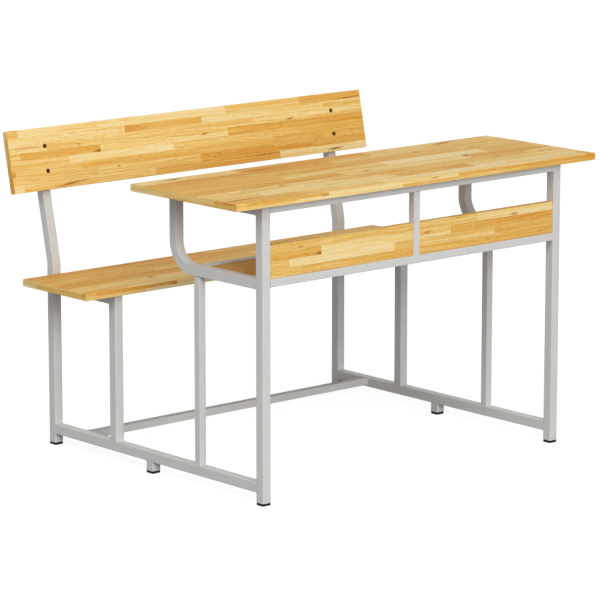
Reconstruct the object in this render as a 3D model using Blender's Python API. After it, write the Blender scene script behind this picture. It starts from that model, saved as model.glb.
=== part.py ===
# School desk with an attached bench: one welded frame of square steel tube that carries
# a desktop, a book shelf, two front panels, a seat and a leaning backrest of laminated wood.
#
# Run with blender --background --python part.py, or from the text editor.
# Metres, +Z up. X runs along the desk, and +Y runs from the desk's front to the backrest.
# Left and right are those of someone who faces the front panels, so left is -X.
# The origin is on the floor, at the centre of the whole desk and bench.

import math

import bmesh
import bpy
from mathutils import Matrix, Vector

# Clearances and overruns
FIT_GAP = 0.0003            # between faces that touch on the real desk
CUT_OVERRUN = 0.002         # how far a cutter runs past the face that it opens

# Steel tube, in two sizes
TUBE = 0.025
SLIM_TUBE = 0.020
TUBE_WALL = 0.0015
TUBE_CORNER = 0.002         # outer corner radius of both tubes

# Frame, with its depths measured back from the front face of the front legs
FRAME_WIDTH = 1.000
DESK_FRAME_DEPTH = 0.350    # to the back of the curved rails
SHELF_DROP = 0.197          # from the desktop's top down to the shelf frame's top
CURVE_RADIUS = 0.065        # along the middle of the curved rail
FLOOR_RAIL_UNDERSIDE = 0.030
MIDDLE_POST_CENTRE = 0.250
STUB_FOOT_CENTRE = 0.436
STRETCHER_CENTRE = 0.712
BENCH_LEG_CENTRE = 0.582
BACK_POST_CENTRE = 0.837

# Boards
BOARD_THICKNESS = 0.018
BOARD_EDGE_ROUND = 0.001
DESKTOP_LENGTH = 1.200
DESKTOP_HEIGHT = 0.750
DESKTOP_FRONT_OVERHANG = 0.025
DESKTOP_BACK_OVERHANG = 0.025
SEAT_LENGTH = 1.200
SEAT_HEIGHT = 0.450
SEAT_FRONT_OVERHANG = 0.015
SEAT_POST_GAP = 0.005
PANEL_HEIGHT = 0.081
PANEL_RECESS = 0.002
SHELF_THICKNESS = 0.010
SHELF_RECESS = 0.003        # the shelf's top lies this far below the shelf frame's top

# Leaning backrest and the tubes that carry it
BACKREST_LENGTH = 1.200
BACKREST_HEIGHT = 0.160
BACKREST_UNDERSIDE = 0.6605     # height of the lower back edge
BACKREST_LEAN = math.radians(12)
POST_BEND_HEIGHT = 0.478        # where the faces of the post would meet without a bend radius
POST_BEND_RADIUS = 0.060
POST_END_MARGIN = 0.025         # the post stops this far below the backrest's upper edge

# Plastic caps
CAP_FLANGE = 0.005
CAP_STEM = 0.015
CAP_STEM_CLEARANCE = 0.0004

# Pan-head screws that hold the boards from below or behind
SCREW_RADIUS = 0.0025
SCREW_TIP_RADIUS = 0.0010
SCREW_TIP_LENGTH = 0.0030
SCREW_HEAD_RADIUS = 0.0050
SCREW_HEAD_CROWN_RADIUS = 0.0034
SCREW_HEAD_HEIGHT = 0.0030
SCREW_HEAD_RIM = 0.0012
SCREW_BITE = 0.012              # depth of the screw in a thick board
SHORT_BITE = 0.006              # depth of the screw in the thin shelf
HOLE_CLEARANCE = 0.0004

# Sunk screws of the backrest
SUNK_HEAD_RADIUS = 0.0040
SUNK_HEAD_HEIGHT = 0.0025
SUNK_HOLE_RADIUS = 0.0048
SUNK_HOLE_DEPTH = 0.0100
SUNK_SCREW_REACH = 0.008        # how far the screw goes into the post's front face
BACKREST_SCREW_INSET = 0.048    # from the board's upper and lower edges

# Welded tabs behind the panels and under the shelf
TAB_THICKNESS = 0.003
TAB_LENGTH = 0.025
TAB_WIDTH = 0.030

# Where screws and tabs sit, as shares of the length of the piece that carries them
FRONT_SCREW_SHARE = 0.22
BACK_SCREW_SHARE = 0.78
LEFT_TAB_SHARE = 0.22
RIGHT_TAB_SHARE = 0.78
TAB_HEIGHT_SHARE = 0.50
TAB_SCREW_SHARE = 0.55

# Roundness
CORNER_STEPS = 3
EDGE_STEPS = 2
CURVE_STEPS = 12
BEND_STEPS = 3
ROUND_SIDES = 12
SHARP_ANGLE = math.radians(40)

# Heights and places that follow from the sizes above
SHELF_FRAME_TOP = DESKTOP_HEIGHT - SHELF_DROP
HALF_WIDTH = FRAME_WIDTH / 2
INNER_HALF_WIDTH = HALF_WIDTH - TUBE
TUBE_LINE = HALF_WIDTH - TUBE / 2
DESKTOP_UNDERSIDE = DESKTOP_HEIGHT - BOARD_THICKNESS
SEAT_UNDERSIDE = SEAT_HEIGHT - BOARD_THICKNESS
FLOOR_RAIL_TOP = FLOOR_RAIL_UNDERSIDE + TUBE
CURVED_POST_CENTRE = DESK_FRAME_DEPTH - TUBE / 2
BACK_POST_FRONT = BACK_POST_CENTRE - TUBE / 2
BENCH_LEG_FRONT = BENCH_LEG_CENTRE - TUBE / 2
BENCH_LEG_BACK = BENCH_LEG_CENTRE + TUBE / 2
SEAT_FRONT = BENCH_LEG_FRONT - SEAT_FRONT_OVERHANG
SEAT_BACK = BACK_POST_FRONT - SEAT_POST_GAP
SEAT_RAIL_CENTRE = (BENCH_LEG_BACK + BACK_POST_FRONT) / 2
PANEL_BACK = PANEL_RECESS + BOARD_THICKNESS
SHELF_TOP = SHELF_FRAME_TOP - SHELF_RECESS
SHELF_UNDERSIDE = SHELF_TOP - SHELF_THICKNESS
SCREW_HOLE_RADIUS = SCREW_RADIUS + HOLE_CLEARANCE

# The backrest's own directions: up along its face, and out of its back
LEAN_UP = Vector((0, math.sin(BACKREST_LEAN), math.cos(BACKREST_LEAN)))
LEAN_BACK = Vector((0, math.cos(BACKREST_LEAN), -math.sin(BACKREST_LEAN)))
POST_FACE_START = Vector((0, BACK_POST_FRONT, POST_BEND_HEIGHT))
BACKREST_START = (BACKREST_UNDERSIDE - POST_BEND_HEIGHT) / math.cos(BACKREST_LEAN)
POST_END = BACKREST_START + BACKREST_HEIGHT - POST_END_MARGIN
POST_CAP_TOP = POST_FACE_START + LEAN_UP * (POST_END + FIT_GAP + CAP_FLANGE)
REARMOST = POST_CAP_TOP + LEAN_BACK * TUBE
DEPTH_CENTRE = (REARMOST.y - DESKTOP_FRONT_OVERHANG) / 2

SIDES = (("left", -1), ("right", 1))
ALONG_X = (0, 0, -math.pi / 2)
ALONG_Y = (0, 0, 0)
ALONG_Z = (math.pi / 2, 0, 0)


def make_material(name, color, roughness, metallic):
    material = bpy.data.materials.new(name)
    material.use_nodes = True
    shader = material.node_tree.nodes["Principled BSDF"]
    shader.inputs["Base Color"].default_value = (*color, 1)
    shader.inputs["Roughness"].default_value = roughness
    shader.inputs["Metallic"].default_value = metallic
    material.diffuse_color = (*color, 1)
    return material


def add_object(name, bm, material, location=(0, 0, 0), rotation=(0, 0, 0)):
    bmesh.ops.recalc_face_normals(bm, faces=bm.faces)
    mesh = bpy.data.meshes.new(name)
    bm.to_mesh(mesh)
    bm.free()
    mesh.materials.append(material)
    piece = bpy.data.objects.new(name, mesh)
    piece.location = location
    piece.rotation_euler = rotation
    bpy.context.scene.collection.objects.link(piece)
    return piece


# A square with round corners in the XZ plane, as a closed loop of points
def rounded_square(width, corner):
    points = []
    reach = width / 2 - corner
    for quarter in range(4):
        middle = math.pi / 4 + quarter * math.pi / 2
        centre = Vector((math.copysign(reach, math.cos(middle)), 0, math.copysign(reach, math.sin(middle))))
        for step in range(CORNER_STEPS + 1):
            angle = (quarter + step / CORNER_STEPS) * math.pi / 2
            points.append(centre + Vector((math.cos(angle), 0, math.sin(angle))) * corner)
    return points


# The cut end of a tube: quads between the outer and the inner outline
def tube_section(bm, width):
    outer = [bm.verts.new(point) for point in rounded_square(width, TUBE_CORNER)]
    inner_corner = TUBE_CORNER - TUBE_WALL
    inner = [bm.verts.new(point) for point in rounded_square(width - 2 * TUBE_WALL, inner_corner)]
    faces = []
    for index in range(len(outer)):
        after = (index + 1) % len(outer)
        faces.append(bm.faces.new((outer[index], outer[after], inner[after], inner[index])))
    return faces


# Faces with their own edges and corners, so that an extrusion takes their old place away
def whole_region(faces):
    edges = {edge for face in faces for edge in face.edges}
    corners = {vert for face in faces for vert in face.verts}
    return list(faces) + list(edges) + list(corners)


# Extrudes faces by an offset. The first extrusion of a solid keeps them as its far end.
def extrude_faces(bm, faces, offset, first=False):
    made = bmesh.ops.extrude_face_region(bm, geom=whole_region(faces), use_keep_orig=first)["geom"]
    corners = [item for item in made if isinstance(item, bmesh.types.BMVert)]
    bmesh.ops.translate(bm, verts=corners, vec=offset)
    return [item for item in made if isinstance(item, bmesh.types.BMFace)]


# A tube that starts along its own +Y. Its path is a list of straight lengths and of bends,
# each bend being a radius, an angle (positive towards its own +Z) and a number of steps.
def make_tube(name, width, path, material, location, rotation):
    bm = bmesh.new()
    section = tube_section(bm, width)
    place = Vector((0, 0, 0))
    heading = 0
    for number, leg in enumerate(path):
        ahead = Vector((0, math.cos(heading), math.sin(heading)))
        if isinstance(leg, tuple):
            radius, angle, steps = leg
            inward = Vector((0, -math.sin(heading), math.cos(heading))) * math.copysign(radius, angle)
            spun = bmesh.ops.spin(
                bm, geom=whole_region(section), cent=place + inward, axis=(1, 0, 0), angle=angle, steps=steps)
            section = [item for item in spun["geom_last"] if isinstance(item, bmesh.types.BMFace)]
            place += inward - Matrix.Rotation(angle, 3, "X") @ inward
            heading += angle
        else:
            section = extrude_faces(bm, section, ahead * leg, first=number == 0)
            place += ahead * leg
    return add_object(name, bm, material, location, rotation)


# Straight tubes, from their centre lines and their two ends
def tube_along_x(name, width, start, end, y, z, material):
    return make_tube(name, width, [end - start], material, (start, y, z), ALONG_X)


def tube_along_y(name, width, x, start, end, z, material):
    return make_tube(name, width, [end - start], material, (x, start, z), ALONG_Y)


def tube_along_z(name, width, x, y, start, end, material):
    return make_tube(name, width, [end - start], material, (x, y, start), ALONG_Z)


# A block from its low and high corners
def make_block(name, low, high, material, rotation=(0, 0, 0), location=(0, 0, 0)):
    bm = bmesh.new()
    bmesh.ops.create_cube(bm, size=1)
    bmesh.ops.scale(bm, verts=bm.verts, vec=Vector(high) - Vector(low))
    bmesh.ops.translate(bm, verts=bm.verts, vec=(Vector(low) + Vector(high)) / 2)
    return add_object(name, bm, material, location, rotation)


# A wooden board, which is a block with lightly rounded edges
def make_board(name, low, high, material, rotation=(0, 0, 0), location=(0, 0, 0)):
    board = make_block(name, low, high, material, rotation, location)
    rounding = board.modifiers.new("rounded_edges", "BEVEL")
    rounding.width = BOARD_EDGE_ROUND
    rounding.segments = EDGE_STEPS
    rounding.limit_method = "ANGLE"
    return board


# A turned solid: rings of (radius, height) along the +Z of the given place
def make_turned(name, profile, place, material):
    bm = bmesh.new()
    rings = []
    for radius, height in profile:
        at_height = place @ Matrix.Translation((0, 0, height))
        made = bmesh.ops.create_circle(bm, segments=ROUND_SIDES, radius=radius, matrix=at_height)
        rings.append(made["verts"])
    for lower, upper in zip(rings, rings[1:]):
        for index in range(ROUND_SIDES):
            after = (index + 1) % ROUND_SIDES
            bm.faces.new((lower[index], lower[after], upper[after], upper[index]))
    bm.faces.new(rings[0])
    bm.faces.new(rings[-1])
    return add_object(name, bm, material)


# A pan-head screw, from under its head, with its shank along +Z
def pan_head_screw(length):
    return [
        (SCREW_HEAD_CROWN_RADIUS, -SCREW_HEAD_HEIGHT),
        (SCREW_HEAD_RADIUS, -SCREW_HEAD_RIM),
        (SCREW_HEAD_RADIUS, 0),
        (SCREW_RADIUS, 0),
        (SCREW_RADIUS, length - SCREW_TIP_LENGTH),
        (SCREW_TIP_RADIUS, length),
    ]


# A screw with a low round head that sinks into a counterbore
def sunk_screw(length):
    return [
        (SUNK_HEAD_RADIUS, -SUNK_HEAD_HEIGHT),
        (SUNK_HEAD_RADIUS, 0),
        (SCREW_RADIUS, 0),
        (SCREW_RADIUS, length - SCREW_TIP_LENGTH),
        (SCREW_TIP_RADIUS, length),
    ]


# The place of something whose +Z points in the given direction
def facing(point, direction):
    turn = Vector(direction).to_track_quat("Z", "Y").to_matrix().to_4x4()
    return Matrix.Translation(point) @ turn


# Cuts or joins one piece with a helper that isn't itself a piece of the desk
def combine(piece, helper, operation):
    helper.hide_render = True
    helper.display_type = "WIRE"
    change = piece.modifiers.new(helper.name, "BOOLEAN")
    change.operation = operation
    change.object = helper


# A round hole that starts at a point and runs the given depth in a direction
def drill(piece, point, direction, radius, depth):
    start = Vector(point) - Vector(direction) * CUT_OVERRUN
    name = f"hole_{len(piece.modifiers)}_in_{piece.name}"
    cutter = make_turned(
        name, [(radius, 0), (radius, depth + CUT_OVERRUN)], facing(start, direction), piece.data.materials[0])
    combine(piece, cutter, "DIFFERENCE")


# A screw whose head lies on a carrier at the given point. It passes through the carrier,
# which is as deep as given, and bites into the board on the carrier's far side.
def screw_board(name, board, carrier, point, direction, carrier_depth, zinc):
    depth = carrier_depth + FIT_GAP + SCREW_BITE
    head_seat = Vector(point) - Vector(direction) * FIT_GAP
    drill(carrier, point, direction, SCREW_HOLE_RADIUS, carrier_depth + CUT_OVERRUN)
    drill(board, point, direction, SCREW_HOLE_RADIUS, depth + HOLE_CLEARANCE)
    make_turned(name, pan_head_screw(depth + FIT_GAP), facing(head_seat, direction), zinc)


# A screw that is one solid with its welded tab, with its head pressed a little into the tab
def screw_tab(tab, board, point, direction, bite, steel):
    length = TAB_THICKNESS + FIT_GAP + bite
    head_seat = Vector(point) + Vector(direction) * FIT_GAP
    name = f"screw_{len(tab.modifiers)}_of_{tab.name}"
    screw = make_turned(name, pan_head_screw(length - FIT_GAP), facing(head_seat, direction), steel)
    combine(tab, screw, "UNION")
    drill(board, point, direction, SCREW_HOLE_RADIUS, length + HOLE_CLEARANCE)


# A place between two others, by its share of the way
def between(start, end, share):
    return start + (end - start) * share


# One end of the frame, with everything that is welded at that side
def make_end_frame(side, sign, steel):
    x = sign * TUBE_LINE
    foot = CAP_FLANGE + FIT_GAP
    level_start = TUBE + FIT_GAP
    post_face = BACK_POST_FRONT - FIT_GAP
    above_rail = FLOOR_RAIL_TOP + FIT_GAP
    tube_along_z("front_leg_" + side, TUBE, x, TUBE / 2, foot, DESKTOP_UNDERSIDE - FIT_GAP, steel)
    tube_along_z(
        "stub_foot_" + side, TUBE, x, STUB_FOOT_CENTRE, foot, FLOOR_RAIL_UNDERSIDE - FIT_GAP, steel)
    tube_along_z(
        "middle_post_" + side, SLIM_TUBE, x, MIDDLE_POST_CENTRE, above_rail,
        SHELF_FRAME_TOP - TUBE - FIT_GAP, steel)
    tube_along_z(
        "bench_leg_" + side, TUBE, x, BENCH_LEG_CENTRE, above_rail, SEAT_UNDERSIDE - FIT_GAP, steel)
    tube_along_y(
        "floor_rail_" + side, TUBE, x, level_start, post_face, FLOOR_RAIL_UNDERSIDE + TUBE / 2, steel)
    tube_along_y(
        "desk_side_rail_" + side, TUBE, x, level_start, DESK_FRAME_DEPTH - TUBE - FIT_GAP,
        DESKTOP_UNDERSIDE - FIT_GAP - TUBE / 2, steel)
    tube_along_y(
        "seat_side_rail_" + side, TUBE, x, BENCH_LEG_BACK + FIT_GAP, post_face,
        SEAT_UNDERSIDE - FIT_GAP - TUBE / 2, steel)
    make_curved_rail("curved_rail_" + side, x, level_start, steel)
    make_back_post("back_post_" + side, x, foot, steel)


# The tube that runs back under the shelf and turns up to carry the desktop's rear edge
def make_curved_rail(name, x, start, steel):
    centre_height = SHELF_FRAME_TOP - TUBE / 2
    level_length = CURVED_POST_CENTRE - CURVE_RADIUS - start
    upright_length = DESKTOP_UNDERSIDE - FIT_GAP - centre_height - CURVE_RADIUS
    path = [level_length, (CURVE_RADIUS, math.pi / 2, CURVE_STEPS), upright_length]
    make_tube(name, TUBE, path, steel, (x, start, centre_height), ALONG_Y)


# The bench's back leg, which goes on above the seat and leans back to carry the backrest
def make_back_post(name, x, start, steel):
    half_turn = math.tan(BACKREST_LEAN / 2)
    bend_length = POST_BEND_RADIUS * half_turn
    centre_offset = TUBE / 2 * half_turn
    lower_length = POST_BEND_HEIGHT - centre_offset - bend_length - start
    upper_length = POST_END - centre_offset - bend_length
    path = [lower_length, (POST_BEND_RADIUS, -BACKREST_LEAN, BEND_STEPS), upper_length]
    make_tube(name, TUBE, path, steel, (x, BACK_POST_CENTRE, start), ALONG_Z)


# The tubes that run from one end frame to the other, and the post between two of them
def make_cross_tubes(steel):
    end = INNER_HALF_WIDTH - FIT_GAP
    half = SLIM_TUBE / 2
    under_desktop = DESKTOP_UNDERSIDE - FIT_GAP - half
    under_seat = SEAT_UNDERSIDE - FIT_GAP - half
    shelf_level = SHELF_FRAME_TOP - half
    rails = (
        ("desk_front_rail", half, under_desktop),
        ("desk_back_rail", CURVED_POST_CENTRE, under_desktop),
        ("shelf_front_rail", half, shelf_level),
        ("shelf_back_rail", MIDDLE_POST_CENTRE, shelf_level),
        ("seat_cross_rail", SEAT_RAIL_CENTRE, under_seat),
        ("floor_stretcher", STRETCHER_CENTRE, FLOOR_RAIL_TOP - half),
    )
    for name, y, z in rails:
        tube_along_x(name, SLIM_TUBE, -end, end, y, z, steel)
    post_top = under_desktop - half - FIT_GAP
    tube_along_z("centre_post", SLIM_TUBE, 0, half, SHELF_FRAME_TOP + FIT_GAP, post_top, steel)


# A plastic cap: a flange as wide as the tube, and a stem that plugs into it along +Z
def make_cap(name, plastic, location, rotation=(0, 0, 0)):
    bm = bmesh.new()
    flange_depth = Vector((0, CAP_FLANGE, 0))
    outline = [bm.verts.new(point) for point in rounded_square(TUBE, TUBE_CORNER)]
    top = extrude_faces(bm, [bm.faces.new(outline)], flange_depth, first=True)
    inset = TUBE_WALL + CAP_STEM_CLEARANCE
    bmesh.ops.inset_region(bm, faces=top, thickness=inset)
    extrude_faces(bm, top, Vector((0, CAP_STEM, 0)))
    bmesh.ops.rotate(bm, verts=bm.verts, matrix=Matrix.Rotation(math.pi / 2, 3, "X"))
    add_object(name, bm, plastic, location, rotation)


def make_caps(side, sign, plastic):
    x = sign * TUBE_LINE
    make_cap("foot_cap_front_" + side, plastic, (x, TUBE / 2, 0))
    make_cap("foot_cap_middle_" + side, plastic, (x, STUB_FOOT_CENTRE, 0))
    make_cap("foot_cap_back_" + side, plastic, (x, BACK_POST_CENTRE, 0))
    top = POST_CAP_TOP + LEAN_BACK * (TUBE / 2)
    make_cap("post_cap_" + side, plastic, (x, top.y, top.z), (math.pi - BACKREST_LEAN, 0, 0))


# Screws a board down onto its two side rails and the middle of one cross rail
def screw_down(board, label, side_rail, ends, cross_rail, cross_y, underside, zinc):
    up = (0, 0, 1)
    rail_bottom = underside - FIT_GAP - TUBE
    for side, sign in SIDES:
        rail = bpy.data.objects[side_rail + side]
        for place, share in (("front_", FRONT_SCREW_SHARE), ("back_", BACK_SCREW_SHARE)):
            point = (sign * TUBE_LINE, between(*ends, share), rail_bottom)
            screw_board(label + place + side, board, rail, point, up, TUBE, zinc)
    point = (0, cross_y, underside - FIT_GAP - SLIM_TUBE)
    rail = bpy.data.objects[cross_rail]
    screw_board(label + "centre", board, rail, point, up, SLIM_TUBE, zinc)


def make_desktop(wood, zinc):
    low = (-DESKTOP_LENGTH / 2, -DESKTOP_FRONT_OVERHANG, DESKTOP_UNDERSIDE)
    high = (DESKTOP_LENGTH / 2, DESK_FRAME_DEPTH + DESKTOP_BACK_OVERHANG, DESKTOP_HEIGHT)
    board = make_board("desktop", low, high, wood)
    screw_down(
        board, "desktop_screw_", "desk_side_rail_", (TUBE, DESK_FRAME_DEPTH - TUBE),
        "desk_back_rail", CURVED_POST_CENTRE, DESKTOP_UNDERSIDE, zinc)


def make_seat(wood, zinc):
    low = (-SEAT_LENGTH / 2, SEAT_FRONT, SEAT_UNDERSIDE)
    high = (SEAT_LENGTH / 2, SEAT_BACK, SEAT_HEIGHT)
    board = make_board("seat", low, high, wood)
    screw_down(
        board, "seat_screw_", "seat_side_rail_", (BENCH_LEG_BACK, SEAT_BACK),
        "seat_cross_rail", SEAT_RAIL_CENTRE, SEAT_UNDERSIDE, zinc)


# The backrest lies on the leaning faces of the two posts, on two sunk screws at each
def make_backrest(wood, black_steel):
    half = Vector((BACKREST_LENGTH / 2, BOARD_THICKNESS / 2, BACKREST_HEIGHT / 2))
    middle = POST_FACE_START + LEAN_UP * (BACKREST_START + BACKREST_HEIGHT / 2)
    middle -= LEAN_BACK * (FIT_GAP + BOARD_THICKNESS / 2)
    board = make_board("backrest", -half, half, wood, (-BACKREST_LEAN, 0, 0), middle)
    wood_depth = BOARD_THICKNESS - SUNK_HOLE_DEPTH
    length = FIT_GAP + wood_depth + FIT_GAP + SUNK_SCREW_REACH
    spots = (("lower_", BACKREST_SCREW_INSET), ("upper_", BACKREST_HEIGHT - BACKREST_SCREW_INSET))
    for side, sign in SIDES:
        post = bpy.data.objects["back_post_" + side]
        for place, distance in spots:
            post_face = POST_FACE_START + LEAN_UP * (BACKREST_START + distance)
            post_face.x = sign * TUBE_LINE
            front = post_face - LEAN_BACK * (FIT_GAP + BOARD_THICKNESS)
            head_seat = front + LEAN_BACK * (SUNK_HOLE_DEPTH - FIT_GAP)
            drill(board, front, LEAN_BACK, SUNK_HOLE_RADIUS, SUNK_HOLE_DEPTH)
            drill(board, front, LEAN_BACK, SCREW_HOLE_RADIUS, BOARD_THICKNESS + CUT_OVERRUN)
            drill(post, post_face, LEAN_BACK, SCREW_HOLE_RADIUS, TUBE_WALL + CUT_OVERRUN)
            name = "backrest_screw_" + place + side
            make_turned(name, sunk_screw(length), facing(head_seat, LEAN_BACK), black_steel)


# The shelf lies between the rails, on tabs that are welded to the rails' inner faces
def make_shelf(wood, steel):
    end = INNER_HALF_WIDTH - FIT_GAP
    back_face = MIDDLE_POST_CENTRE - SLIM_TUBE / 2
    low = (-end, SLIM_TUBE + FIT_GAP, SHELF_UNDERSIDE)
    high = (end, back_face - FIT_GAP, SHELF_TOP)
    board = make_board("book_shelf", low, high, wood)
    top = SHELF_UNDERSIDE - FIT_GAP
    bottom = top - TAB_THICKNESS
    for side, share in (("left", LEFT_TAB_SHARE), ("right", RIGHT_TAB_SHARE)):
        x = between(-INNER_HALF_WIDTH, INNER_HALF_WIDTH, share)
        for place, near, inward in (("front_", SLIM_TUBE, 1), ("back_", back_face, -1)):
            start = near + inward * FIT_GAP
            end_y = start + inward * TAB_LENGTH
            tab_low = (x - TAB_WIDTH / 2, min(start, end_y), bottom)
            tab_high = (x + TAB_WIDTH / 2, max(start, end_y), top)
            point = (x, between(start, end_y, TAB_SCREW_SHARE), bottom)
            tab = make_block("shelf_tab_" + place + side, tab_low, tab_high, steel)
            screw_tab(tab, board, point, (0, 0, 1), SHORT_BITE, steel)


# The two front panels stand on the shelf's front rail. One tab at each front leg and one
# across the back of the centre post hold them from behind.
def make_front_panels(wood, steel):
    low_z = SHELF_FRAME_TOP + FIT_GAP
    panels = {}
    for side, sign in SIDES:
        ends = sorted((sign * (SLIM_TUBE / 2 + FIT_GAP), sign * (INNER_HALF_WIDTH - FIT_GAP)))
        low = (ends[0], PANEL_RECESS, low_z)
        high = (ends[1], PANEL_BACK, low_z + PANEL_HEIGHT)
        panels[side] = make_board("front_panel_" + side, low, high, wood)
    middle_z = low_z + PANEL_HEIGHT * TAB_HEIGHT_SHARE
    bottom = middle_z - TAB_WIDTH / 2
    top = middle_z + TAB_WIDTH / 2
    front = PANEL_BACK + FIT_GAP
    back = front + TAB_THICKNESS
    forward = (0, -1, 0)
    reach = SLIM_TUBE / 2 + TAB_LENGTH
    centre_tab = make_block("panel_tab_centre", (-reach, front, bottom), (reach, back, top), steel)
    for side, sign in SIDES:
        weld = sign * (INNER_HALF_WIDTH - FIT_GAP)
        end = weld - sign * TAB_LENGTH
        low = (min(weld, end), front, bottom)
        high = (max(weld, end), back, top)
        side_tab = make_block("panel_tab_" + side, low, high, steel)
        spots = ((side_tab, between(weld, end, TAB_SCREW_SHARE)),
                 (centre_tab, sign * between(SLIM_TUBE / 2, reach, TAB_SCREW_SHARE)))
        for tab, x in spots:
            screw_tab(tab, panels[side], (x, back, middle_z), forward, SCREW_BITE, steel)


def shade_pieces():
    for piece in bpy.context.scene.collection.objects:
        piece.data.shade_smooth()
        piece.data.set_sharp_from_angle(angle=SHARP_ANGLE)


# Hangs every piece on one empty, so that the origin is at the centre of the floor area
def centre_on_floor():
    pieces = list(bpy.context.scene.collection.objects)
    centre = bpy.data.objects.new("desk_and_bench", None)
    bpy.context.scene.collection.objects.link(centre)
    centre.location = (0, -DEPTH_CENTRE, 0)
    for piece in pieces:
        piece.parent = centre


def build():
    for old in list(bpy.data.objects):
        bpy.data.objects.remove(old, do_unlink=True)
    wood = make_material("laminated_wood", (0.80, 0.55, 0.24), 0.45, 0)
    steel = make_material("grey_powder_coat", (0.58, 0.58, 0.57), 0.50, 0)
    plastic = make_material("black_plastic", (0.01, 0.01, 0.01), 0.55, 0)
    zinc = make_material("zinc_plated_steel", (0.55, 0.55, 0.53), 0.35, 1)
    black_steel = make_material("black_phosphated_steel", (0.05, 0.05, 0.05), 0.60, 1)
    for side, sign in SIDES:
        make_end_frame(side, sign, steel)
        make_caps(side, sign, plastic)
    make_cross_tubes(steel)
    make_desktop(wood, zinc)
    make_seat(wood, zinc)
    make_backrest(wood, black_steel)
    make_shelf(wood, steel)
    make_front_panels(wood, steel)
    shade_pieces()
    centre_on_floor()


build()
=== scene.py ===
import math
import random

import bpy
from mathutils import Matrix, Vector


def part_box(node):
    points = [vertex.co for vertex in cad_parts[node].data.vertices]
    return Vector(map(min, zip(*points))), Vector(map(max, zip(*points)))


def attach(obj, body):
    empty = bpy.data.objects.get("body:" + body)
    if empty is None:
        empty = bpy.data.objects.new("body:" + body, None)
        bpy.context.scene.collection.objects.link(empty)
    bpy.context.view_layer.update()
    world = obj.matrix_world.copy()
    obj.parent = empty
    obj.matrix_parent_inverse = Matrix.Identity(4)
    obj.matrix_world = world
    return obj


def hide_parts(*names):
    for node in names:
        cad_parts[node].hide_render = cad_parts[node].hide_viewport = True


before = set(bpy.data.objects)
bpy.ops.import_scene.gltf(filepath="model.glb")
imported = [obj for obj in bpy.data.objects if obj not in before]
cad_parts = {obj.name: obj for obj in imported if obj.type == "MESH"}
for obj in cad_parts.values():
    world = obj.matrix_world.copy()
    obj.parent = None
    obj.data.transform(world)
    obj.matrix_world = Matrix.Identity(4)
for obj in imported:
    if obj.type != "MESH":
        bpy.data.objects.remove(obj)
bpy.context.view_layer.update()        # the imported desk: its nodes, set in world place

# School desk with a bench: powder-coated square tube, boards of laminated rubberwood staves,
# black plastic caps and screws. Left is -X, the desk's front is -Y, Z is up, lengths are metres.

print("frame loaded,", len(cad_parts), "nodes")

sides = ("left", "right")
nearly = 0.0001          # a point this close to a plane counts as on it
smoothDegrees = 40       # faces that meet at less than this are shaded as one


# Operators act on all that is selected, so everything is let go before each piece
def deselectAll():
    if bpy.context.object and bpy.context.object.mode != "OBJECT":
        bpy.ops.object.mode_set(mode="OBJECT")
    bpy.ops.object.select_all(action="DESELECT")


def activate(piece):
    deselectAll()
    piece.select_set(True)
    bpy.context.view_layer.objects.active = piece


def applyPlace(piece):
    activate(piece)
    bpy.ops.object.transform_apply(location=True, rotation=True, scale=True)


def addBlock(name, low, high):
    deselectAll()
    bpy.ops.mesh.primitive_cube_add(size=1, calc_uvs=False, location=(low + high) / 2)
    block = bpy.context.object
    block.name = name
    block.scale = high - low
    applyPlace(block)
    return block


# Selects the edges or faces whose points pass a test, and stays in edit mode
def selectWhere(piece, kind, test):
    activate(piece)
    bpy.ops.object.mode_set(mode="EDIT")
    bpy.ops.mesh.select_mode(type=kind)
    bpy.ops.mesh.select_all(action="DESELECT")
    bpy.ops.object.mode_set(mode="OBJECT")
    mesh = piece.data
    parts = mesh.edges if kind == "EDGE" else mesh.polygons
    for part in parts:
        part.select = test([mesh.vertices[index].co for index in part.vertices])
    bpy.ops.object.mode_set(mode="EDIT")


def bevelWhere(piece, test, offset, steps):
    selectWhere(piece, "EDGE", test)
    bpy.ops.mesh.bevel(offset=offset, segments=steps, affect="EDGES")
    bpy.ops.object.mode_set(mode="OBJECT")


# A test for edges that run along an axis
def runsAlong(axis):
    return lambda points: abs(points[0][axis] - points[1][axis]) > nearly


def applyModifier(piece, kind, **settings):
    activate(piece)
    modifier = piece.modifiers.new(kind.lower(), kind)
    for name, value in settings.items():
        setattr(modifier, name, value)
    bpy.ops.object.modifier_apply(modifier=modifier.name)


def cutAway(piece, cutter):
    applyModifier(piece, "BOOLEAN", operation="DIFFERENCE", object=cutter)
    bpy.data.objects.remove(cutter)


# Round edges look round and large faces stay flat
def shadePiece(piece):
    activate(piece)
    bpy.ops.object.shade_smooth_by_angle(angle=math.radians(smoothDegrees))
    applyModifier(piece, "WEIGHTED_NORMAL", keep_sharp=True)


def copyPiece(source, name):
    twin = source.copy()
    twin.data = source.data.copy()
    twin.name = name
    bpy.context.scene.collection.objects.link(twin)
    return twin


# Gives a piece its material and its body, and hides the nodes that it stands in for
def dress(piece, material, slotName, *nodes):
    piece.data.materials.clear()
    piece.data.materials.append(material)
    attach(piece, "root")
    if nodes:
        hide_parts(*nodes)


def hexToLinear(text):
    shares = [int(text[place:place + 2], 16) / 255 for place in (1, 3, 5)]
    return (*[((s + 0.055) / 1.055) ** 2.4 if s > 0.04045 else s / 12.92 for s in shares], 1)


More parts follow.
